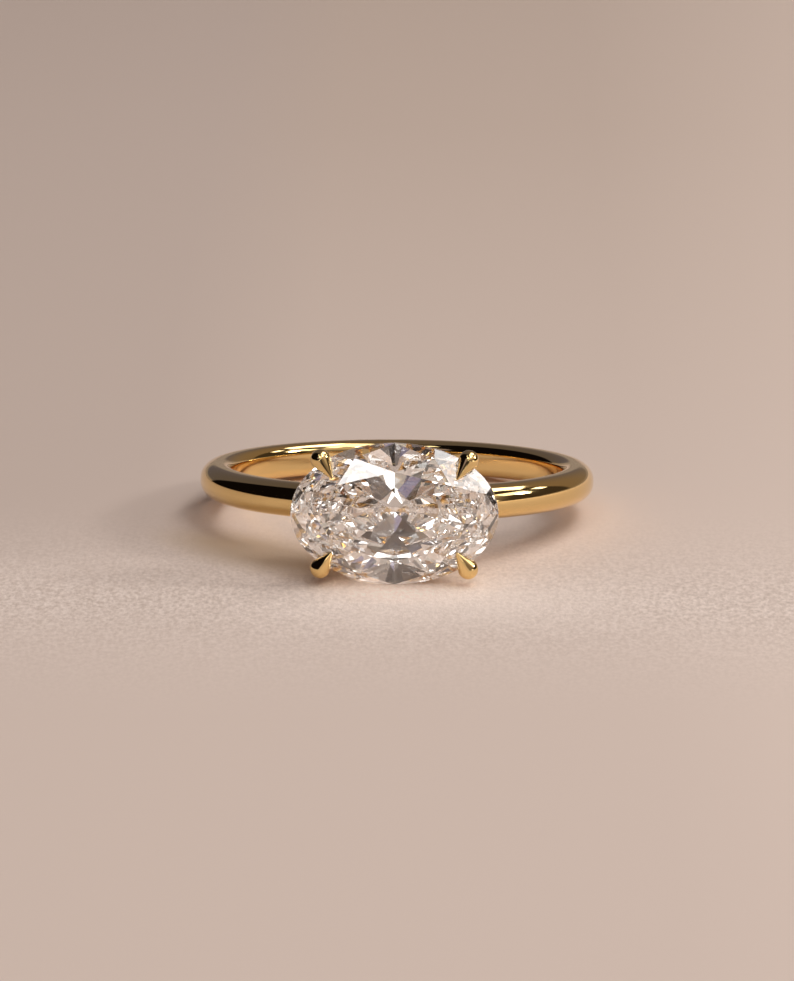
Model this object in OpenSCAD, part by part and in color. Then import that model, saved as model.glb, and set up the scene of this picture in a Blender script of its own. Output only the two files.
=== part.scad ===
// East-west solitaire ring, lying on its side as it rests on a table.
// An oval brilliant-cut stone is held across the finger by four claws on a plain, softly rounded band.
// The origin is the centre of the finger hole. Z is up, and the stone faces -Y.

/* [Band] */
// Diameter of the finger hole
finger_d = 16.5; // [14:0.1:20]
// Width of the band, along the finger
band_width = 1.7; // [1.6:0.05:2.2]
// Thickness of the band, from the finger outwards
band_thickness = 1.58; // [1.4:0.02:2]
// Radius of the band's two outer shoulders
shoulder_r = 0.78; // [0.6:0.02:0.8]
// Radius of the comfort rounding along the band's two inner edges
comfort_r = 0.5; // [0.3:0.02:0.6]

/* [Stone] */
// Length of the stone, across the finger
stone_length = 10; // [9:0.1:11]
// Width of the stone, along the finger
stone_width = 6.84; // [6.2:0.02:7.6]
// Length of the table facet, from corner to corner
table_length = 7.66; // [7:0.02:8]
// Width of the table facet, from corner to corner
table_width = 4.3; // [3.8:0.02:4.7]
// Height of the crown, from the girdle to the table
crown_height = 0.95; // [0.8:0.01:1.1]
// Height of the star facets' points above the girdle
star_height = 0.5; // [0.4:0.01:0.6]
// Thickness of the girdle where the main facets meet it
girdle_thickness = 0.26; // [0.24:0.01:0.34]
// Depth of the pavilion, from the girdle to the point
pavilion_depth = 2.8; // [2.6:0.01:3]
// Depth to which the lower half facets reach under the girdle
lower_half_depth = 2.1; // [1.8:0.01:2.3]

/* [Head] */
// Height of the stone's girdle above the inside of the band
girdle_lift = 4; // [3.8:0.05:4.8]
// Diameter of the wire of each claw
claw_d = 0.86; // [0.8:0.02:1]
// Diameter of the round shoulder at the bend of each claw
claw_ball_d = 0.98; // [0.92:0.02:1.1]
// Place of the claws round the girdle, as an angle from the long axis of the oval
claw_angle = 46.4; // [42:0.2:50]
// Depth to which the girdle is let into each claw
claw_bite = 0.24; // [0.15:0.01:0.3]
// Length of the claw's point over the crown, from the girdle inwards
claw_reach = 0.86; // [0.7:0.01:1]
// Height of the claw's bend above the middle of the girdle
claw_rise = 0.28; // [0.2:0.01:0.4]
// Radius of the claw's blunted tip
tip_r = 0.05; // [0.03:0.01:0.08]
// Distance between the feet of two claws across the band
foot_gap = 0.6; // [0.5:0.02:0.7]
// Distance between the feet of two claws along the band
foot_span = 2.9; // [2.4:0.05:3.4]
// Diameter of the wire of the rail that ties the claws together
rail_d = 0.6; // [0.5:0.02:0.7]
// Height of the rail over the feet of the claws
rail_lift = 1.35; // [1.2:0.05:1.5]
// Gap between the rail and the stone over it
rail_gap = 0.12; // [0.08:0.01:0.2]
// Gap between the stone and the metal that holds it
seat_gap = 0.03; // [0.02:0.01:0.06]
// Gap between the stone's point and the recess in the band
point_gap = 0.1; // [0.06:0.01:0.14]

/* [Hidden] */
gold = [0.86, 0.66, 0.32];
clear = [0.93, 0.93, 0.95];

// The radii of the band's outside and of the middle of its section.
finger_r = finger_d / 2;
band_r = finger_r + band_thickness;
band_mid_r = finger_r + band_thickness / 2;

// The stone: half sizes, the heights of its levels, and the spacing of its main facets.
half_l = stone_length / 2;
half_w = stone_width / 2;
girdle_half = girdle_thickness / 2;
table_z = girdle_half + crown_height;
point_z = -girdle_half - pavilion_depth;
girdle_r = finger_r + girdle_lift;
mains = 8;
main_step = 360 / mains;
girdle_sides = 96;

// One claw, in the stone's own frame with the table up: its place on the girdle, the way outwards,
// and the three points that it runs through.
claw_at = [half_l * cos(claw_angle), half_w * sin(claw_angle)];
claw_out = unit([cos(claw_angle) / half_l, sin(claw_angle) / half_w]);
crown_slope = crown_height / norm([half_l - table_length / 2, half_w - table_width / 2] / sqrt(2));
bend_point = claw_point(claw_d / 2 - claw_bite, claw_rise);
tip_point = claw_point(-claw_reach, girdle_half + claw_reach * crown_slope);
foot_point = [foot_span / 2, foot_gap / 2, sqrt(pow(band_mid_r, 2) - pow(foot_span / 2, 2)) - girdle_r];

// The rail is an oval of four arcs that meet inside the claws. Its width clears the pavilion, whose
// edges lie on a cone a little wider than the girdle.
rail_point = mix(foot_point, bend_point, rail_lift / (bend_point[2] - foot_point[2]));
keel_w = half_w / cos(main_step / 2);
keel_slope = atan(pavilion_depth / keel_w);
rail_half_w = keel_w * (rail_point[2] - point_z) / pavilion_depth
    + (rail_d / 2 + rail_gap) / sin(keel_slope);
rail_half_l = rail_point[0] / sqrt(1 - pow(rail_point[1] / rail_half_w, 2));

// On a table the ring touches with the back of the band and the edge of the girdle.
rest_run = band_r - shoulder_r + girdle_r - girdle_half;
rest_drop = half_w - (band_width / 2 - shoulder_r);
rest_tilt = atan(rest_drop / rest_run) - asin(shoulder_r / norm([rest_run, rest_drop]));

function unit(v) = v / norm(v);
function mix(a, b, t) = a + (b - a) * t;
function claw_point(across, up) =
    [claw_at[0] + across * claw_out[0], claw_at[1] + across * claw_out[1], up];

// A plane is [normal, distance]. This one goes through three points.
function plane(a, b, c) = let (n = cross(b - a, c - a)) [n, n * a];
function plane_z(p, x, y) = (p[1] - p[0][0] * x - p[0][1] * y) / p[0][2];

// The point where two planes meet at height z.
function meet(p, q, z) =
    let (
        det = p[0][0] * q[0][1] - p[0][1] * q[0][0],
        pd = p[1] - p[0][2] * z,
        qd = q[1] - q[0][2] * z
    )
    [(pd * q[0][1] - qd * p[0][1]) / det, (qd * p[0][0] - pd * q[0][0]) / det, z];

// The stone's outline grown by a gap, and the plane that touches the girdle at an angle and holds a point.
function girdle(angle, z, gap) = [(half_l + gap) * cos(angle), (half_w + gap) * sin(angle), z];
function girdle_way(angle) = [-half_l * sin(angle), half_w * cos(angle), 0];
function main_plane(angle, z, top, gap) =
    let (g = girdle(angle, z, gap)) plane(g, g + girdle_way(angle), top);

// All corners of the stone, which is the hull of them.
function stone_points(gap) =
    let (
        rise = table_z + gap,
        corner = [for (i = [0:mains - 1]) let (a = i * main_step)
            [(table_length / 2 + gap / 2) * cos(a), (table_width / 2 + gap / 2) * sin(a), rise]],
        kite = [for (i = [0:mains - 1]) main_plane(i * main_step, girdle_half, corner[i], gap)],
        star = [for (i = [0:mains - 1]) meet(kite[i], kite[(i + 1) % mains], girdle_half + star_height)],
        upper = [for (i = [0:mains - 1]) for (side = [0, 1])
            plane(star[i], girdle((i + side) * main_step, girdle_half, gap),
                girdle((i + 0.5) * main_step, girdle_half, gap))],
        point = [0, 0, point_z - gap],
        keel = [for (i = [0:mains - 1]) main_plane((i + 0.5) * main_step, -girdle_half, point, gap)],
        elbow = [for (i = [0:mains - 1])
            meet(keel[i], keel[(i + 1) % mains], -girdle_half - lower_half_depth)],
        lower = [for (i = [0:mains - 1]) for (side = [0.5, 1.5])
            plane(elbow[i], girdle((i + side) * main_step, -girdle_half, gap),
                girdle((i + 1) * main_step, -girdle_half, gap))],
        rim = [for (i = [0:girdle_sides - 1]) girdle(i * 360 / girdle_sides, 0, gap)]
    )
    concat(
        corner, star, elbow, [point],
        [for (r = rim) [r[0], r[1], min([for (p = concat(kite, upper)) plane_z(p, r[0], r[1])])]],
        [for (r = rim) [r[0], r[1], max([for (p = concat(keel, lower)) plane_z(p, r[0], r[1])])]]
    );

// Turns the stone's own frame, with the table up, to its place at the front of the band.
module at_front() translate([0, -girdle_r, 0]) rotate([90, 0, 0]) children();

module at_rest() rotate([-rest_tilt, 0, 0]) children();

module stone_body(gap = 0) hull() polyhedron(
    points = stone_points(gap),
    faces = [[for (i = [0:len(stone_points(gap)) - 1]) i]]
);

// Stands its children, made along Z, at a point and turns them to look at another.
module along(from, to) {
    way = to - from;
    translate(from)
        rotate([0, acos(way[2] / norm(way)), atan2(way[1], way[0])])
            children();
}

// A claw is a straight wire from the band, with a tapered point bent over the crown.
module claw() {
    along(foot_point, bend_point) cylinder(h = norm(bend_point - foot_point), d = claw_d, $fn = 48);
    along(bend_point, tip_point) claw_tip();
}

// The bent point is a ball that draws in to a small blunt tip, like a drop.
module claw_tip() {
    length = norm(tip_point - bend_point);
    ball_r = claw_ball_d / 2;
    lean = asin((ball_r - tip_r) / (length - tip_r));
    steps = 12;
    back = [for (i = [0:steps]) let (a = mix(-90, lean, i / steps)) ball_r * [cos(a), sin(a)]];
    front = [[tip_r * cos(lean), length - tip_r + tip_r * sin(lean)], [0, length]];
    rotate_extrude($fn = 48) polygon(concat(back, front));
}

module claws() for (x = [0, 1]) for (y = [0, 1]) mirror([x, 0, 0]) mirror([0, y, 0]) claw();

// An arc of the rail, whose middle is out on the X axis and whose ends lie half_span to each side.
module rail_arc(middle, end, half_span) {
    bulge = middle - end;
    arc_r = (bulge * bulge + half_span * half_span) / (2 * bulge);
    half_angle = atan2(half_span, arc_r - bulge);
    translate([middle - arc_r, 0, rail_point[2]])
        rotate([0, 0, -half_angle])
            rotate_extrude(angle = 2 * half_angle, $fn = 96)
                translate([arc_r, 0]) circle(d = rail_d, $fn = 32);
}

module rail() for (turn = [0, 180]) {
    rotate([0, 0, turn]) rail_arc(rail_half_l, rail_point[0], rail_point[1]);
    rotate([0, 0, turn + 90]) rail_arc(rail_half_w, rail_point[1], rail_point[0]);
}

// The band's section: a plain block between four round edges.
module band_section() {
    outer_run = band_thickness - shoulder_r - comfort_r;
    translate([finger_r + comfort_r, -band_width / 2]) square([outer_run, band_width]);
    translate([finger_r, comfort_r - band_width / 2])
        square([comfort_r, band_width - 2 * comfort_r]);
    translate([band_r - shoulder_r, shoulder_r - band_width / 2])
        square([shoulder_r, band_width - 2 * shoulder_r]);
    for (side = [-1, 1]) {
        translate([finger_r + comfort_r, side * (band_width / 2 - comfort_r)])
            circle(r = comfort_r, $fn = 48);
        translate([band_r - shoulder_r, side * (band_width / 2 - shoulder_r)])
            circle(r = shoulder_r, $fn = 48);
    }
}

module band() rotate_extrude($fn = 128) band_section();

// The recess that keeps the stone's point clear of the band, cut as a cone from outside.
recess_depth = band_r - (girdle_r + point_z) + point_gap;
recess_slope = half_l / pavilion_depth;
module point_recess() translate([0, 0, point_z - point_gap])
    cylinder(h = 2 * recess_depth, r1 = 0, r2 = 2 * recess_depth * recess_slope, $fn = 64);

module ring_metal() color(gold) at_rest() union() {
    difference() {
        band();
        at_front() point_recess();
    }
    at_front() difference() {
        claws();
        stone_body(seat_gap);
    }
    at_front() rail();
}

module oval_stone() color(clear) at_rest() at_front() stone_body();

ring_metal();
oval_stone();
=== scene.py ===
import math

import bmesh
import bpy
from mathutils import Matrix, Vector


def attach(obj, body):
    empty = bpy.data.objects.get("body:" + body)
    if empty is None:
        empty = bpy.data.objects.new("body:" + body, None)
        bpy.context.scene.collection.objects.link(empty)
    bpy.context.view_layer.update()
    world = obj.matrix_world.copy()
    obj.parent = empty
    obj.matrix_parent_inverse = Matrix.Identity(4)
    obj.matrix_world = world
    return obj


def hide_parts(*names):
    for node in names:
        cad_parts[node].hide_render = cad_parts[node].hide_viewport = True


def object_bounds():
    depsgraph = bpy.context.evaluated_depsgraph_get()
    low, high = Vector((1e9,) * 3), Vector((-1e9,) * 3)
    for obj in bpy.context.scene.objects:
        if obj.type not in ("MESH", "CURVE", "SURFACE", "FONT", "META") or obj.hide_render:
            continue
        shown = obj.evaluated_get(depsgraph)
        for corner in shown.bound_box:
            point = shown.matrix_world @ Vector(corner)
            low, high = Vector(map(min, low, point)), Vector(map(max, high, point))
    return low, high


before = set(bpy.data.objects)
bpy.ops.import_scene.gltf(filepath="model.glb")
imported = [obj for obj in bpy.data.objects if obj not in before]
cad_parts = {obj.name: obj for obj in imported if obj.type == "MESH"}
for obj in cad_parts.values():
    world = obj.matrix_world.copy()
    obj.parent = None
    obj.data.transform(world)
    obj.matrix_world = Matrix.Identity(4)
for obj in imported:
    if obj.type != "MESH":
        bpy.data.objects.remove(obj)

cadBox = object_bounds()
mm = 0.001

# The ring lies with its head raised a little, so everything is made flat first and then tilted
ringLay = {
    "fingerRadius": 8.25,
    "girdleRadius": 12.25,  # from the middle of the finger hole to the stone's girdle
    "tilt": 6.9065,  # degrees, back of the band and girdle both on the table
}
layDown = Matrix.Scale(mm, 4) @ Matrix.Rotation(math.radians(-ringLay["tilt"]), 4, "X")
toHead = Matrix.Translation((0, -ringLay["girdleRadius"], 0)) @ Matrix.Rotation(math.radians(90), 4, "X")
onTable = cadBox[0].z

# In metres and degrees: what is too short to keep in a mesh, and how far a smooth surface turns at an edge
seams = {"weld": 1e-8, "sliver": 0.0008 * mm, "smoothTurn": 32.0}


def lerp(a, b, t):
    return a + (b - a) * t


def makePiece(name, mesh, material, smooth):
    for polygon in mesh.polygons:
        polygon.use_smooth = smooth
    mesh.materials.append(material)
    piece = bpy.data.objects.new(name, mesh)
    bpy.context.scene.collection.objects.link(piece)
    return piece


def meshFrom(name, points, faces, place):
    mesh = bpy.data.meshes.new(name)
    mesh.from_pydata([place @ Vector(p) for p in points], [], faces)
    mesh.validate()
    tidy = bmesh.new()
    tidy.from_mesh(mesh)
    bmesh.ops.remove_doubles(tidy, verts=tidy.verts, dist=seams["weld"])
    bmesh.ops.recalc_face_normals(tidy, faces=tidy.faces)
    tidy.to_mesh(mesh)
    tidy.free()
    return mesh


def ringFaces(rings, sides, closedWay):
    # Quads between rings of points, each ring closed in itself
    faces = []
    for k in range(rings if closedWay else rings - 1):
        for i in range(sides):
            a = k * sides + i
            b = k * sides + (i + 1) % sides
            c = (k + 1) % rings * sides + (i + 1) % sides
            d = (k + 1) % rings * sides + i
            faces.append((a, b, c, d))
    return faces


def dropSlivers(mesh):
    # A cut leaves slivers, and points in the middle of straight edges
    tidy = bmesh.new()
    tidy.from_mesh(mesh)
    bmesh.ops.remove_doubles(tidy, verts=tidy.verts, dist=seams["sliver"])
    bmesh.ops.dissolve_degenerate(tidy, dist=seams["sliver"], edges=tidy.edges)
    bmesh.ops.dissolve_verts(tidy, verts=[vert for vert in tidy.verts if len(vert.link_edges) == 2])
    bmesh.ops.triangulate(tidy, faces=[face for face in tidy.faces if len(face.verts) > 4])
    bmesh.ops.dissolve_degenerate(tidy, dist=seams["sliver"], edges=tidy.edges)
    tidy.to_mesh(mesh)
    tidy.free()


def cutFrom(piece, cutter, overlaps):
    # Takes the cutter out of the piece and leaves smooth faces between sharp edges
    step = piece.modifiers.new("cut", "BOOLEAN")
    step.operation = "DIFFERENCE"
    step.solver = "EXACT"
    step.use_self = overlaps
    step.object = cutter
    bpy.context.view_layer.update()
    graph = bpy.context.evaluated_depsgraph_get()
    shaped = bpy.data.meshes.new_from_object(piece.evaluated_get(graph))
    piece.modifiers.clear()
    piece.data = shaped
    bpy.data.objects.remove(cutter)
    dropSlivers(shaped)
    shaped.shade_smooth()
    shaped.set_sharp_from_angle(angle=math.radians(seams["smoothTurn"]))


# Nodes and node groups that several finishes share

noiseSpan = (0.3, 0.7)  # where nearly all of a noise texture's values lie
polish = {"lineStretch": (1.0, 1.0, 14.0), "hazeShare": 0.9, "leastHaze": 0.55}
zoneSpan = (0.35, 0.65)  # where the stone turns from its clear to its warm tint


def newGroup(name, inputs, outputs):
    group = bpy.data.node_groups.new(name, "ShaderNodeTree")
    for label, kind, value in inputs:
        socket = group.interface.new_socket(label, in_out="INPUT", socket_type=kind)
        socket.default_value = value
    for label, kind in outputs:
        group.interface.new_socket(label, in_out="OUTPUT", socket_type=kind)
    return group, group.nodes.new("NodeGroupInput"), group.nodes.new("NodeGroupOutput")


def mathNode(tree, operation, a, b=0.5):
    node = tree.nodes.new("ShaderNodeMath")
    node.operation = operation
    for slot, value in enumerate((a, b)):
        if isinstance(value, (int, float)):
            node.inputs[slot].default_value = value
        else:
            tree.links.new(value, node.inputs[slot])
    return node.outputs[0]


def noiseNode(tree, vector, scale, detail, roughness=0.5):
    node = tree.nodes.new("ShaderNodeTexNoise")
    node.inputs["Detail"].default_value = detail
    node.inputs["Roughness"].default_value = roughness
    tree.links.new(vector, node.inputs["Vector"])
    if isinstance(scale, (int, float)):
        node.inputs["Scale"].default_value = scale
    else:
        tree.links.new(scale, node.inputs["Scale"])
    return node.outputs["Fac"]


def stretch(tree, vector, amounts):
    node = tree.nodes.new("ShaderNodeMapping")
    node.inputs["Scale"].default_value = amounts
    tree.links.new(vector, node.inputs["Vector"])
    return node.outputs["Vector"]


def spanNode(tree, value, fromMin, fromMax, toMin, toMax):
    node = tree.nodes.new("ShaderNodeMapRange")
    node.inputs["From Min"].default_value = fromMin
    node.inputs["From Max"].default_value = fromMax
    node.inputs["To Min"].default_value = toMin
    node.inputs["To Max"].default_value = toMax
    tree.links.new(value, node.inputs["Value"])
    return node.outputs["Result"]


def mixNode(tree, factor, a, b):
    node = tree.nodes.new("ShaderNodeMix")
    node.data_type = "RGBA"
    tree.links.new(factor, node.inputs["Factor"])
    for label, value in (("A", a), ("B", b)):
        if isinstance(value, tuple):
            node.inputs[label].default_value = value
        else:
            tree.links.new(value, node.inputs[label])
    return node.outputs["Result"]


def makeHandPolish():
    # The faint waves and buffing lines that a polishing wheel leaves in soft metal
    group, given, put = newGroup(
        "handPolish",
        [("Wave Scale", "NodeSocketFloat", 900.0), ("Line Scale", "NodeSocketFloat", 4000.0),
         ("Line Share", "NodeSocketFloat", 0.3), ("Haze Scale", "NodeSocketFloat", 420.0),
         ("Dullness", "NodeSocketFloat", 0.08), ("Warmth Scale", "NodeSocketFloat", 260.0)],
        [("Height", "NodeSocketFloat"), ("Roughness", "NodeSocketFloat"), ("Warmth", "NodeSocketFloat")])
    place = group.nodes.new("ShaderNodeTexCoord").outputs["Object"]
    waves = noiseNode(group, place, given.outputs["Wave Scale"], 2.0)
    lines = noiseNode(group, stretch(group, place, polish["lineStretch"]), given.outputs["Line Scale"], 3.0)
    lined = mathNode(group, "MULTIPLY", lines, given.outputs["Line Share"])
    group.links.new(mathNode(group, "ADD", waves, lined), put.inputs["Height"])
    haze = noiseNode(group, place, given.outputs["Haze Scale"], 4.0, 0.6)
    spread = mathNode(group, "MULTIPLY", haze, polish["hazeShare"])
    spread = mathNode(group, "ADD", spread, polish["leastHaze"])
    group.links.new(mathNode(group, "MULTIPLY", spread, given.outputs["Dullness"]), put.inputs["Roughness"])
    group.links.new(noiseNode(group, place, given.outputs["Warmth Scale"], 3.0), put.inputs["Warmth"])
    return group


def makeStoneZones():
    # Where the stone's tint is a little warmer, and the fine grain of a ground face
    group, given, put = newGroup(
        "stoneZones",
        [("Zone Scale", "NodeSocketFloat", 420.0), ("Grain Scale", "NodeSocketFloat", 5200.0)],
        [("Zone", "NodeSocketFloat"), ("Grain", "NodeSocketFloat")])
    place = group.nodes.new("ShaderNodeTexCoord").outputs["Object"]
    zones = noiseNode(group, place, given.outputs["Zone Scale"], 2.0)
    group.links.new(spanNode(group, zones, *zoneSpan, 0.0, 1.0), put.inputs["Zone"])
    group.links.new(noiseNode(group, place, given.outputs["Grain Scale"], 3.0, 0.6), put.inputs["Grain"])
    return group


handPolish = makeHandPolish()
stoneZones = makeStoneZones()


def newMaterial(name):
    material = bpy.data.materials.new(name)
    material.use_nodes = True
    tree = material.node_tree
    return material, tree, tree.nodes["Principled BSDF"]


def useGroup(tree, group, settings):
    # Takes from the settings those that carry the name of one of the group's inputs
    node = tree.nodes.new("ShaderNodeGroup")
    node.node_tree = group
    for socket in node.inputs:
        if socket.name in settings:
            socket.default_value = settings[socket.name]
    return node


def makeGold(name, look):
    material, tree, shader = newMaterial(name)
    shader.inputs["Metallic"].default_value = 1.0
    worked = useGroup(tree, handPolish, look)
    bump = tree.nodes.new("ShaderNodeBump")
    bump.inputs["Strength"].default_value = look["bump"]
    bump.inputs["Distance"].default_value = look["depth"]
    tree.links.new(worked.outputs["Height"], bump.inputs["Height"])
    tree.links.new(bump.outputs["Normal"], shader.inputs["Normal"])
    tree.links.new(worked.outputs["Roughness"], shader.inputs["Roughness"])
    warmed = mixNode(tree, worked.outputs["Warmth"], look["gold"], look["deepGold"])
    tree.links.new(warmed, shader.inputs["Base Color"])
    return material


goldLook = {
    "gold": (0.90, 0.66, 0.305, 1.0), "deepGold": (0.87, 0.62, 0.265, 1.0), "Warmth Scale": 260.0,
    "Wave Scale": 700.0, "Line Scale": 3500.0, "Line Share": 0.12, "Haze Scale": 420.0, "Dullness": 0.07,
    "bump": 0.12, "depth": 0.02 * mm,
}
bandGold = makeGold("polishedBandGold", goldLook)
clawGold = makeGold("polishedClawGold", dict(goldLook, **{"Wave Scale": 1500.0, "Dullness": 0.05}))


diamondLook = {
    "clearTint": (1.0, 0.988, 0.97, 1.0), "warmTint": (1.0, 0.978, 0.95, 1.0), "Zone Scale": 420.0,
    "bending": 2.417,
    "groundHaze": (0.064, 0.16), "Grain Scale": 5200.0,  # the girdle is ground, not polished
}


def makeDiamond(name, ground):
    material, tree, shader = newMaterial(name)
    zones = useGroup(tree, stoneZones, diamondLook)
    tint = mixNode(tree, zones.outputs["Zone"], diamondLook["clearTint"], diamondLook["warmTint"])
    tree.links.new(tint, shader.inputs["Base Color"])
    shader.inputs["Roughness"].default_value = 0.0
    if ground:
        haze = spanNode(tree, zones.outputs["Grain"], *noiseSpan, *diamondLook["groundHaze"])
        tree.links.new(haze, shader.inputs["Roughness"])
    shader.inputs["IOR"].default_value = diamondLook["bending"]
    shader.inputs["Transmission Weight"].default_value = 1.0
    return material


diamond = makeDiamond("brilliantDiamond", False)
girdleDiamond = makeDiamond("groundGirdleDiamond", True)
print("finishes made")

# The stone: an oval brilliant, all of its facets worked out from the planes that cut it

stone = {
    "length": 10.0, "width": 6.84, "tableLength": 7.66, "tableWidth": 4.3,
    "crown": 0.95, "starHeight": 0.5, "girdle": 0.26, "pavilion": 2.8, "lowerHalf": 2.1,
    "mains": 8, "girdleSides": 96,
    "flatTurn": 0.4,  # degrees, less than this between two faces makes them one facet
}


def planeThrough(a, b, c):
    normal = (b - a).cross(c - a)
    return normal, normal.dot(a)


def planeHeight(plane, x, y):
    normal, distance = plane
    return (distance - normal.x * x - normal.y * y) / normal.z


def planesMeet(p, q, z):
    # The point at height z on the line where two planes meet
    det = p[0].x * q[0].y - p[0].y * q[0].x
    pd = p[1] - p[0].z * z
    qd = q[1] - q[0].z * z
    return Vector(((pd * q[0].y - qd * p[0].y) / det, (qd * p[0].x - pd * q[0].x) / det, z))


def stonePoints(gap):
    halfL = stone["length"] / 2
    halfW = stone["width"] / 2
    half = stone["girdle"] / 2
    count = stone["mains"]
    step = 2 * math.pi / count

    def rim(angle, z):
        return Vector(((halfL + gap) * math.cos(angle), (halfW + gap) * math.sin(angle), z))

    def mainPlane(angle, z, apex):
        along = Vector((-halfL * math.sin(angle), halfW * math.cos(angle), 0))
        return planeThrough(rim(angle, z), rim(angle, z) + along, apex)

    top = half + stone["crown"] + gap
    corner = [Vector(((stone["tableLength"] + gap) / 2 * math.cos(i * step),
                      (stone["tableWidth"] + gap) / 2 * math.sin(i * step), top)) for i in range(count)]
    kite = [mainPlane(i * step, half, corner[i]) for i in range(count)]
    star = [planesMeet(kite[i], kite[(i + 1) % count], half + stone["starHeight"]) for i in range(count)]
    upper = [planeThrough(star[i], rim((i + side) * step, half), rim((i + 0.5) * step, half))
             for i in range(count) for side in (0, 1)]
    point = Vector((0, 0, -half - stone["pavilion"] - gap))
    keel = [mainPlane((i + 0.5) * step, -half, point) for i in range(count)]
    elbow = [planesMeet(keel[i], keel[(i + 1) % count], -half - stone["lowerHalf"]) for i in range(count)]
    lower = [planeThrough(elbow[i], rim((i + side) * step, -half), rim((i + 1) * step, -half))
             for i in range(count) for side in (0.5, 1.5)]
    points = corner + star + elbow + [point]
    for k in range(stone["girdleSides"]):
        edge = rim(2 * math.pi * k / stone["girdleSides"], 0)
        points.append(Vector((edge.x, edge.y, min(planeHeight(p, edge.x, edge.y) for p in kite + upper))))
        points.append(Vector((edge.x, edge.y, max(planeHeight(p, edge.x, edge.y) for p in keel + lower))))
    return points


def stoneMesh(name, gap, place):
    cut = bmesh.new()
    for p in stonePoints(gap):
        cut.verts.new(p)
    bmesh.ops.convex_hull(cut, input=cut.verts)
    flatTurn = math.radians(stone["flatTurn"])
    bmesh.ops.dissolve_limit(cut, angle_limit=flatTurn, verts=cut.verts, edges=cut.edges)
    cut.transform(place)
    bmesh.ops.recalc_face_normals(cut, faces=cut.faces)
    mesh = bpy.data.meshes.new(name)
    cut.to_mesh(mesh)
    cut.free()
    return mesh


def makeStone():
    piece = makePiece("ovalStone", stoneMesh("ovalStone", 0.0, layDown @ toHead), diamond, False)
    piece.data.materials.append(girdleDiamond)
    axis = ((layDown @ toHead).to_3x3() @ Vector((0, 0, 1))).normalized()
    for facet in piece.data.polygons:
        if abs(facet.normal.dot(axis)) < 0.1:  # the girdle's faces stand along the axis
            facet.material_index = 1
    return piece


# The band: one softly rounded section swept round the finger hole, with a recess under the stone

band = {
    "width": 1.7, "thickness": 1.58, "shoulder": 0.78, "comfort": 0.5,
    "turns": 288, "edgeSteps": 12, "flatSteps": 3,
    "pointGap": 0.1, "recessSides": 64,  # the recess that keeps the stone's point clear
}


def bandSection():
    outer = ringLay["fingerRadius"] + band["thickness"]
    inner = ringLay["fingerRadius"]
    half = band["width"] / 2
    corners = [
        (outer - band["shoulder"], half - band["shoulder"], band["shoulder"], 0),
        (inner + band["comfort"], half - band["comfort"], band["comfort"], 90),
        (inner + band["comfort"], band["comfort"] - half, band["comfort"], 180),
        (outer - band["shoulder"], band["shoulder"] - half, band["shoulder"], 270),
    ]
    arcs = []
    for across, up, radius, start in corners:
        arcs.append([])
        for k in range(band["edgeSteps"] + 1):
            a = math.radians(start + 90 * k / band["edgeSteps"])
            arcs[-1].append((across + radius * math.cos(a), up + radius * math.sin(a)))
    outline = []
    for arc, following in zip(arcs, arcs[1:] + arcs[:1]):
        outline += arc
        for k in range(1, band["flatSteps"]):
            t = k / band["flatSteps"]
            outline.append((lerp(arc[-1][0], following[0][0], t), lerp(arc[-1][1], following[0][1], t)))
    return outline


def makeBand():
    section = bandSection()
    points = []
    for k in range(band["turns"]):
        a = 2 * math.pi * k / band["turns"]
        for across, up in section:
            points.append((across * math.cos(a), across * math.sin(a), up))
    faces = ringFaces(band["turns"], len(section), True)
    return makePiece("band", meshFrom("band", points, faces, layDown), bandGold, True)


def makeRecess():
    # A cone that opens outwards under the stone
    slope = stone["length"] / 2 / stone["pavilion"]
    tip = -stone["girdle"] / 2 - stone["pavilion"] - band["pointGap"]
    depth = ringLay["fingerRadius"] + band["thickness"] - ringLay["girdleRadius"] - tip
    high = 2 * depth
    wide = high * slope
    points = [Vector((0, 0, tip))]
    for k in range(band["recessSides"]):
        a = 2 * math.pi * k / band["recessSides"]
        points.append(Vector((wide * math.cos(a), wide * math.sin(a), tip + high)))
    around = list(range(1, band["recessSides"] + 1))
    faces = [(0, a, b) for a, b in zip(around, around[1:] + around[:1])] + [tuple(around)]
    return makePiece("recess", meshFrom("recess", points, faces, layDown @ toHead), bandGold, False)


bandPiece = makeBand()
cutFrom(bandPiece, makeRecess(), False)
print("band made:", len(bandPiece.data.polygons), "faces")

stonePiece = makeStone()
print("stone made:", len(stonePiece.data.polygons), "facets")

# The head: four claws bent over the crown, and the rail that ties them

head = {
    "wire": 0.86, "ball": 0.98, "angle": 46.4, "bite": 0.24, "reach": 0.86, "rise": 0.28, "tip": 0.05,
    "footGap": 0.6, "footSpan": 2.9, "railWire": 0.6, "railLift": 1.35, "railGap": 0.12, "seatGap": 0.02,
    "sides": 48, "shaftSteps": 8, "dropSteps": 20, "tipSteps": 6, "tipTurn": 84.0,
    "railTurns": 160, "railSides": 24,
}


def headPoints():
    halfL = stone["length"] / 2
    halfW = stone["width"] / 2
    a = math.radians(head["angle"])
    at = Vector((halfL * math.cos(a), halfW * math.sin(a), 0))
    out = Vector((math.cos(a) / halfL, math.sin(a) / halfW, 0)).normalized()
    overhang = Vector((halfL - stone["tableLength"] / 2, halfW - stone["tableWidth"] / 2)).length
    slope = stone["crown"] / (overhang / math.sqrt(2))
    bend = at + out * (head["wire"] / 2 - head["bite"]) + Vector((0, 0, head["rise"]))
    tip = at - out * head["reach"] + Vector((0, 0, stone["girdle"] / 2 + head["reach"] * slope))
    middle = ringLay["fingerRadius"] + band["thickness"] / 2
    depth = math.sqrt(middle ** 2 - (head["footSpan"] / 2) ** 2) - ringLay["girdleRadius"]
    foot = Vector((head["footSpan"] / 2, head["footGap"] / 2, depth))
    return foot, bend, tip


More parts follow.
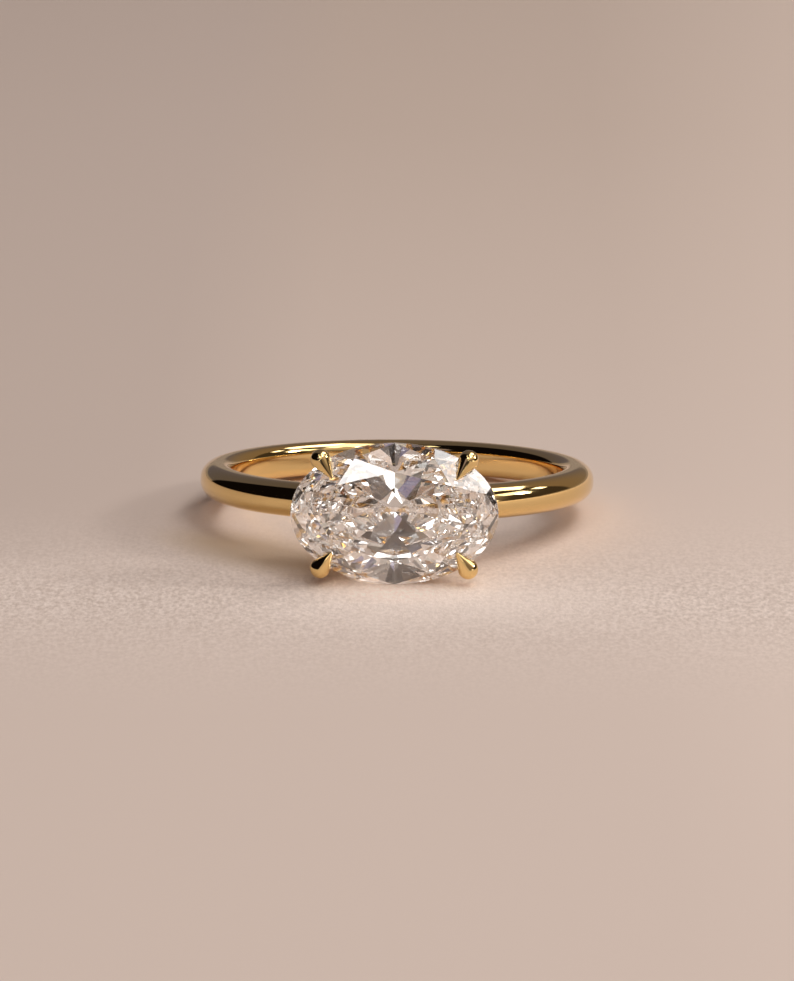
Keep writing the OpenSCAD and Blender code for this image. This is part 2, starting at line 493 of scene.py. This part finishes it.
def lathe(points, faces, profile, start, end, sides):
    # Turns a profile of (radius, height) about the line from start to end
    way = (end - start).normalized()
    side = way.orthogonal().normalized()
    other = way.cross(side)
    first = len(points)
    for radius, height in profile:
        for i in range(sides):
            a = 2 * math.pi * i / sides
            points.append(start + way * height + side * radius * math.cos(a) + other * radius * math.sin(a))
    for face in ringFaces(len(profile), sides, False):
        faces.append(tuple(first + v for v in face))
    faces.append(tuple(first + i for i in reversed(range(sides))))
    faces.append(tuple(first + (len(profile) - 1) * sides + i for i in range(sides)))


def clawMesh():
    foot, bend, tip = headPoints()
    points = []
    faces = []
    length = (bend - foot).length
    shaft = [(head["wire"] / 2, length * k / head["shaftSteps"]) for k in range(head["shaftSteps"] + 1)]
    lathe(points, faces, shaft, foot, bend, head["sides"])
    reach = (tip - bend).length
    ball = head["ball"] / 2
    lean = math.asin((ball - head["tip"]) / (reach - head["tip"]))
    drop = []
    for k in range(1, head["dropSteps"] + 1):
        a = lerp(-math.pi / 2, lean, k / head["dropSteps"])
        drop.append((ball * math.cos(a), ball * math.sin(a)))
    for k in range(head["tipSteps"] + 1):
        a = lerp(lean, math.radians(head["tipTurn"]), k / head["tipSteps"])
        drop.append((head["tip"] * math.cos(a), reach - head["tip"] + head["tip"] * math.sin(a)))
    lathe(points, faces, drop, bend, tip, head["sides"])
    return points, faces


def makeClaws():
    oneClaw, oneFaces = clawMesh()
    points = []
    faces = []
    for sx in (1, -1):
        for sy in (1, -1):
            first = len(points)
            points += [Vector((sx * p.x, sy * p.y, p.z)) for p in oneClaw]
            faces += [tuple(first + v for v in face) for face in oneFaces]
    claws = makePiece("claws", meshFrom("claws", points, faces, layDown @ toHead), clawGold, True)
    seat = makePiece("seat", stoneMesh("seat", head["seatGap"], layDown @ toHead), clawGold, False)
    cutFrom(claws, seat, True)
    return claws


def makeRail():
    foot, bend = headPoints()[:2]
    share = head["railLift"] / (bend.z - foot.z)
    at = foot.lerp(bend, share)
    keelWidth = stone["width"] / 2 / math.cos(math.pi / stone["mains"])
    keelSlope = math.atan(stone["pavilion"] / keelWidth)
    above = at.z + stone["girdle"] / 2 + stone["pavilion"]
    wire = head["railWire"] / 2
    halfW = keelWidth * above / stone["pavilion"] + (wire + head["railGap"]) / math.sin(keelSlope)
    halfL = at.x / math.sqrt(1 - (at.y / halfW) ** 2)
    points = []
    for k in range(head["railTurns"]):
        a = 2 * math.pi * k / head["railTurns"]
        out = Vector((math.cos(a) / halfL, math.sin(a) / halfW, 0)).normalized()
        middle = Vector((halfL * math.cos(a), halfW * math.sin(a), at.z))
        for i in range(head["railSides"]):
            b = 2 * math.pi * i / head["railSides"]
            points.append(middle + wire * (out * math.cos(b) + Vector((0, 0, math.sin(b)))))
    faces = ringFaces(head["railTurns"], head["railSides"], True)
    return makePiece("headRail", meshFrom("headRail", points, faces, layDown @ toHead), clawGold, True)


clawPiece = makeClaws()
print("claws made:", len(clawPiece.data.polygons), "faces")
railPiece = makeRail()
print("rail made:", len(railPiece.data.polygons), "faces")

for metalPiece in (bandPiece, clawPiece, railPiece):
    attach(metalPiece, "root")
    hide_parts("ring_metal")
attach(stonePiece, "root")
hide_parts("oval_stone")

# The table, a plain pale sweep

table = {
    "near": -0.22, "far": 0.7, "half": 0.7,
    "roughness": 0.85, "shine": 0.25, "bump": 0.4, "depth": 0.1 * mm,
    "grain": 5000.0, "grainStretch": (1.0, 0.5, 1.0), "grainFade": (0.001, 0.02), "leastGrain": 0.05,
    "cloud": 60.0, "grainShare": 0.85,
    # Painted shade: the table's colour turns darker farther back, standing in for the light falling off
    "color": (0.78, 0.635, 0.555, 1.0), "paintedFarShadeColor": (0.70, 0.56, 0.475, 1.0),
    # Painted light and shade: the table is lighter at the right, where the light comes from, and darker at
    # the left of the ring
    "paintedRightLightColor": (0.93, 0.76, 0.66, 1.0), "paintedLeftShadeColor": (0.68, 0.55, 0.48, 1.0),
    # Painted light: a pale pool on the table just in front of the stone, standing in for the light that the
    # stone and gold throw there
    "paintedLightPoolColor": (1.0, 0.85, 0.76, 1.0), "paintedLightPoolShare": 0.62,
    "paleSpeck": (1.0, 0.85, 0.765, 1.0), "darkSpeck": (0.64, 0.51, 0.435, 1.0),
    "paintedWarmShadeColor": (0.64, 0.49, 0.365, 1.0),  # painted shade, darker and warmer, standing in for the shadow and the gold's bounced light beside the band
    "paintedCausticGlow": (0.14, 0.105, 0.08, 1.0),  # painted light: the table glows here, standing in for the light the stone gathers before it
}
# Lines that the table's patches lie along, in metres from the middle of the finger hole
tableLines = {"clear": -0.0155, "front": 0.0025, "band": 0.0098, "paintedCausticGlow": -0.0139}
# The two places, or the two distances from its line, between which each patch fades in
tableFades = {
    "farther": (-0.01, 0.1), "rightward": (0.012, 0.05),
    "leftward": (-0.005, -0.013), "leftBack": (-0.013, -0.007),
    "frontAcross": (0.011, 0.002), "frontAlong": (0.006, 0.001),
    "warmNear": (0.0035, 0.001), "warmAcross": (-0.0005, -0.004), "warmAlong": (-0.002, -0.005),
    "gatheredAcross": (0.0045, 0.0005), "gatheredAlong": (0.0024, 0.0003),
}


def makeTable():
    material, tree, shader = newMaterial("paleTable")
    place = tree.nodes.new("ShaderNodeTexCoord").outputs["Object"]
    apart = tree.nodes.new("ShaderNodeSeparateXYZ")
    tree.links.new(place, apart.inputs[0])
    across = apart.outputs["X"]
    along = apart.outputs["Y"]

    def awayFrom(value, line):
        return mathNode(tree, "ABSOLUTE", mathNode(tree, "SUBTRACT", value, tableLines[line]))

    def fadeIn(value, patch):
        return spanNode(tree, value, *tableFades[patch], 0.0, 1.0)

    def both(one, other):
        return mathNode(tree, "MULTIPLY", one, other)

    # The grain shows most just in front of the ring
    fromClear = awayFrom(along, "clear")
    fade = spanNode(tree, fromClear, *table["grainFade"], 1.0, table["leastGrain"])
    clear = both(fade, fade)
    speck = noiseNode(tree, stretch(tree, place, table["grainStretch"]), table["grain"], 3.0, 0.6)
    cloud = noiseNode(tree, place, table["cloud"], 3.0)
    uneven = mathNode(tree, "ADD", spanNode(tree, speck, *noiseSpan, 0.0, table["grainShare"]),
                      spanNode(tree, cloud, *noiseSpan, 0.0, 1.0 - table["grainShare"]))
    grainColor = mixNode(tree, uneven, table["paleSpeck"], table["darkSpeck"])

    # Painted shade: darker farther back
    ground = mixNode(tree, fadeIn(along, "farther"), table["color"], table["paintedFarShadeColor"])
    # Painted light: lighter towards the right
    ground = mixNode(tree, fadeIn(across, "rightward"), ground, table["paintedRightLightColor"])
    # Painted shade: darker at the left of the ring, standing in for its soft shadow there
    leftward = both(fadeIn(across, "leftward"), fadeIn(along, "leftBack"))
    ground = mixNode(tree, leftward, ground, table["paintedLeftShadeColor"])
    # Painted light: a pale pool in front of the stone
    paintedLightPoolMask = both(fadeIn(awayFrom(across, "front"), "frontAcross"), fadeIn(fromClear, "frontAlong"))
    grained = mixNode(tree, clear, ground, grainColor)
    tableColor = mixNode(tree, both(paintedLightPoolMask, table["paintedLightPoolShare"]), grained, table["paintedLightPoolColor"])
    reach = tree.nodes.new("ShaderNodeVectorMath")
    reach.operation = "LENGTH"
    tree.links.new(place, reach.inputs[0])
    # Painted shade: a darker, warmer patch on the table at the left front of the band, standing in for its
    # shadow and the gold's bounced light
    paintedWarmShadeSide = both(fadeIn(across, "warmAcross"), fadeIn(along, "warmAlong"))
    warmed = both(fadeIn(awayFrom(reach.outputs["Value"], "band"), "warmNear"), paintedWarmShadeSide)
    tableColor = mixNode(tree, warmed, tableColor, table["paintedWarmShadeColor"])
    # Painted light: the table glows just in front of the stone, a lit patch that stands in for the light
    # the stone gathers there
    paintedCausticGlow = both(fadeIn(mathNode(tree, "ABSOLUTE", across), "gatheredAcross"),
                    fadeIn(awayFrom(along, "paintedCausticGlow"), "gatheredAlong"))
    glow = mixNode(tree, paintedCausticGlow, (0.0, 0.0, 0.0, 1.0), table["paintedCausticGlow"])

    tree.links.new(tableColor, shader.inputs["Base Color"])
    tree.links.new(glow, shader.inputs["Emission Color"])
    shader.inputs["Emission Strength"].default_value = 1.0
    shader.inputs["Roughness"].default_value = table["roughness"]
    shader.inputs["Specular IOR Level"].default_value = table["shine"]
    bump = tree.nodes.new("ShaderNodeBump")
    bump.inputs["Distance"].default_value = table["depth"]
    tree.links.new(both(clear, table["bump"]), bump.inputs["Strength"])
    tree.links.new(speck, bump.inputs["Height"])
    tree.links.new(bump.outputs["Normal"], shader.inputs["Normal"])

    corners = [(-table["half"], table["near"]), (table["half"], table["near"]),
               (table["half"], table["far"]), (-table["half"], table["far"])]
    mesh = bpy.data.meshes.new("table")
    mesh.from_pydata([(x, y, onTable) for x, y in corners], [], [(0, 1, 2, 3)])
    piece = makePiece("table", mesh, material, False)


makeTable()
print("table made")

# Light: soft boxes round the right and the front, whose reflections draw the gold and the facets

boxWhite = (1.0, 0.985, 0.97)
spotWhite = (1.0, 0.98, 0.96)
paneWhite = (1.0, 0.97, 0.94)
softBoxes = {
    "topBox": {"azimuth": 340, "height": 69, "wide": 40, "tall": 26, "glow": 2.05, "color": boxWhite},
    "sideBox": {"azimuth": 33, "height": 56, "wide": 22, "tall": 23, "glow": 3.5, "color": boxWhite},
    "stripBox": {"azimuth": 355, "height": 33.5, "wide": 23, "tall": 12, "glow": 2.4, "color": boxWhite},
    "spotBox": {"azimuth": 358, "height": 27.5, "wide": 8, "tall": 7, "glow": 30.0, "color": spotWhite},
    "cornerBox": {"azimuth": 333, "height": 50, "wide": 10, "tall": 9, "glow": 2.6, "color": boxWhite},
    "edgeBox": {"azimuth": 25, "height": 33.7, "wide": 8, "tall": 7, "glow": 4.0, "color": boxWhite},
    "frontBox": {"azimuth": 257, "height": 41, "wide": 15, "tall": 10, "glow": 4.5, "color": boxWhite},
    "brightBox": {"azimuth": 301, "height": 50, "wide": 12, "tall": 10, "glow": 8.0, "color": boxWhite},
    "backBox": {"azimuth": 236, "height": 60, "wide": 11, "tall": 9, "glow": 2.2, "color": boxWhite},
    "starPane": {"azimuth": 265, "height": 18, "wide": 7, "tall": 5, "glow": 3.2, "color": paneWhite},
    "midPane": {"azimuth": 276, "height": 32, "wide": 11, "tall": 8, "glow": 2.0, "color": paneWhite},
    "lowPane": {"azimuth": 285, "height": 5, "wide": 9, "tall": 3, "glow": 2.0, "color": paneWhite},
    "leftPane": {"azimuth": 255, "height": 5, "wide": 9, "tall": 3, "glow": 3.6, "color": paneWhite},
    "slitPane": {"azimuth": 275, "height": 2.3, "wide": 9, "tall": 1.8, "glow": 1.6, "color": paneWhite},
    "farPane": {"azimuth": 322, "height": 4, "wide": 18, "tall": 5, "glow": 3.0, "color": paneWhite},
}
boxDistance = 0.5  # metres


def wayTo(azimuth, height):
    # Azimuth 0 is to the right, 90 to the back and 270 to the front
    a = math.radians(azimuth)
    h = math.radians(height)
    return Vector((math.cos(a) * math.cos(h), math.sin(a) * math.cos(h), math.sin(h)))


def makeSoftBox(name, box):
    lamp = bpy.data.lights.new(name, "AREA")
    lamp.shape = "RECTANGLE"
    lamp.size = 2 * boxDistance * math.tan(math.radians(box["wide"] / 2))
    lamp.size_y = 2 * boxDistance * math.tan(math.radians(box["tall"] / 2))
    lamp.energy = math.pi * lamp.size * lamp.size_y * box["glow"]
    lamp.color = box["color"]
    holder = bpy.data.objects.new(name, lamp)
    toward = wayTo(box["azimuth"], box["height"])
    holder.location = toward * boxDistance
    holder.rotation_mode = "QUATERNION"
    holder.rotation_quaternion = toward.to_track_quat("Z", "Y")
    bpy.context.scene.collection.objects.link(holder)


for boxName, boxFacts in softBoxes.items():
    makeSoftBox(boxName, boxFacts)

# A lamp over the table's right side, so that the gold there has a bright table to mirror

tableLamp = {
    "at": (0.085, -0.03, 0.3), "spread": 27.0, "blend": 1.0, "size": 0.01,
    "power": 1.05, "color": (1.0, 0.97, 0.93),
}


def makeTableLamp():
    lamp = bpy.data.lights.new("tableLamp", "SPOT")
    lamp.energy = tableLamp["power"]
    lamp.color = tableLamp["color"]
    lamp.spot_size = math.radians(tableLamp["spread"])
    lamp.spot_blend = tableLamp["blend"]
    lamp.shadow_soft_size = tableLamp["size"]
    holder = bpy.data.objects.new("tableLamp", lamp)
    holder.location = tableLamp["at"]
    bpy.context.scene.collection.objects.link(holder)


makeTableLamp()

# The room that the gold and the stone mirror: black at the left, dim at the back, bright in front

room = {
    "wallLeft": (0.11, 0.10, 0.12, 1.0), "wallRight": (0.22, 0.165, 0.12, 1.0), "wallFade": (-0.3, 0.6),
    "left": (0.004, 0.003, 0.003, 1.0), "leftSide": (-0.76, -0.606, -0.235), "leftFade": (0.0, 0.05),
    "right": (0.05, 0.038, 0.028, 1.0), "rightSide": (0.545, -0.839, 0.0), "rightFade": (-0.04, 0.04),
    "farTable": (0.31, 0.26, 0.225, 1.0), "lowFade": (0.03, 0.07), "backFade": (0.0, 0.3),
    "lowFront": (0.22, 0.18, 0.16, 1.0), "front": (0.58, 0.50, 0.43, 1.0), "frontFade": (0.36, 0.46),
    "violet": (0.30, 0.26, 0.36, 1.0), "camera": (0.04, 0.035, 0.035, 1.0),
}
# Round patches of it: azimuth, height, and the half angles between which they fade
roomPatches = {"front": (296, 22, 34, 46), "violet": (241, 26, 8, 12), "camera": (264, 8, 13, 19)}


def rampNode(tree, value, low, high):
    # A soft step from 0 to 1
    node = tree.nodes.new("ShaderNodeMapRange")
    node.interpolation_type = "SMOOTHSTEP"
    node.inputs["From Min"].default_value = low
    node.inputs["From Max"].default_value = high
    tree.links.new(value, node.inputs["Value"])
    return node.outputs["Result"]


def alongWay(tree, way, toward):
    # The cosine of the angle between a direction and the one looked in
    node = tree.nodes.new("ShaderNodeVectorMath")
    node.operation = "DOT_PRODUCT"
    tree.links.new(way, node.inputs[0])
    node.inputs[1].default_value = toward
    return node.outputs["Value"]


def patchNode(tree, way, name):
    azimuth, height, inner, outer = roomPatches[name]
    turn = alongWay(tree, way, wayTo(azimuth, height))
    return rampNode(tree, turn, math.cos(math.radians(outer)), math.cos(math.radians(inner)))


def makeRoom():
    world = bpy.data.worlds.new("dimRoom")
    world.use_nodes = True
    bpy.context.scene.world = world
    tree = world.node_tree
    way = tree.nodes.new("ShaderNodeTexCoord").outputs["Generated"]
    apart = tree.nodes.new("ShaderNodeSeparateXYZ")
    tree.links.new(way, apart.inputs[0])
    across, along, up = (apart.outputs[axis] for axis in ("X", "Y", "Z"))
    wall = mixNode(tree, rampNode(tree, across, *room["wallFade"]), room["wallLeft"], room["wallRight"])
    low = mathNode(tree, "SUBTRACT", 1.0, rampNode(tree, up, *room["lowFade"]))
    lowBack = mathNode(tree, "MULTIPLY", low, rampNode(tree, along, *room["backFade"]))
    rightward = rampNode(tree, alongWay(tree, way, room["rightSide"]), *room["rightFade"])
    back = mixNode(tree, lowBack, mixNode(tree, rightward, wall, room["right"]), room["farTable"])
    leftward = rampNode(tree, alongWay(tree, way, room["leftSide"]), *room["leftFade"])
    dark = mixNode(tree, leftward, back, room["left"])
    frontTone = mixNode(tree, rampNode(tree, up, *room["frontFade"]), room["lowFront"], room["front"])
    seen = mixNode(tree, patchNode(tree, way, "front"), dark, frontTone)
    for name in ("violet", "camera"):
        seen = mixNode(tree, patchNode(tree, way, name), seen, room[name])
    tree.links.new(seen, tree.nodes["Background"].inputs["Color"])


makeRoom()

# The camera, where the reference view is taken from

lens = {
    "length": 220.02, "sensor": 36.0, "shiftY": -0.01144, "nearest": 0.01, "farthest": 10.0,
    "away": 300.0,  # millimetres
    "above": 7.73, "aside": 0.53, "roll": 0.33,  # degrees, seen from the plane of the ring
}


def makeCamera():
    data = bpy.data.cameras.new("camera")
    data.lens = lens["length"]
    data.sensor_width = lens["sensor"]
    data.shift_y = lens["shiftY"]
    data.clip_start = lens["nearest"]
    data.clip_end = lens["farthest"]
    holder = bpy.data.objects.new("camera", data)
    up = math.radians(lens["above"])
    aside = math.radians(lens["aside"])
    tilted = Matrix.Rotation(math.radians(-ringLay["tilt"]), 3, "X")
    back = tilted @ Vector((math.sin(aside) * math.cos(up), -math.cos(aside) * math.cos(up), math.sin(up)))
    holder.location = back * lens["away"] * mm
    holder.rotation_mode = "QUATERNION"
    right = (tilted @ Vector((0, 0, 1))).cross(back).normalized()
    straight = Matrix((right, back.cross(right), back)).transposed()
    turned = straight @ Matrix.Rotation(math.radians(lens["roll"]), 3, "Z")
    holder.rotation_quaternion = turned.to_quaternion()
    bpy.context.scene.collection.objects.link(holder)
    bpy.context.scene.camera = holder


makeCamera()

# Light turns many times inside the stone before it leaves
stoneBounces = 96
scene = bpy.context.scene
scene.cycles.max_bounces = stoneBounces
scene.cycles.transmission_bounces = stoneBounces
scene.cycles.glossy_bounces = stoneBounces
scene.cycles.diffuse_bounces = 4
scene.cycles.sample_clamp_indirect = 12.0
scene.cycles.blur_glossy = 0.2
scene.view_settings.view_transform = "Standard"
print("light and camera made")
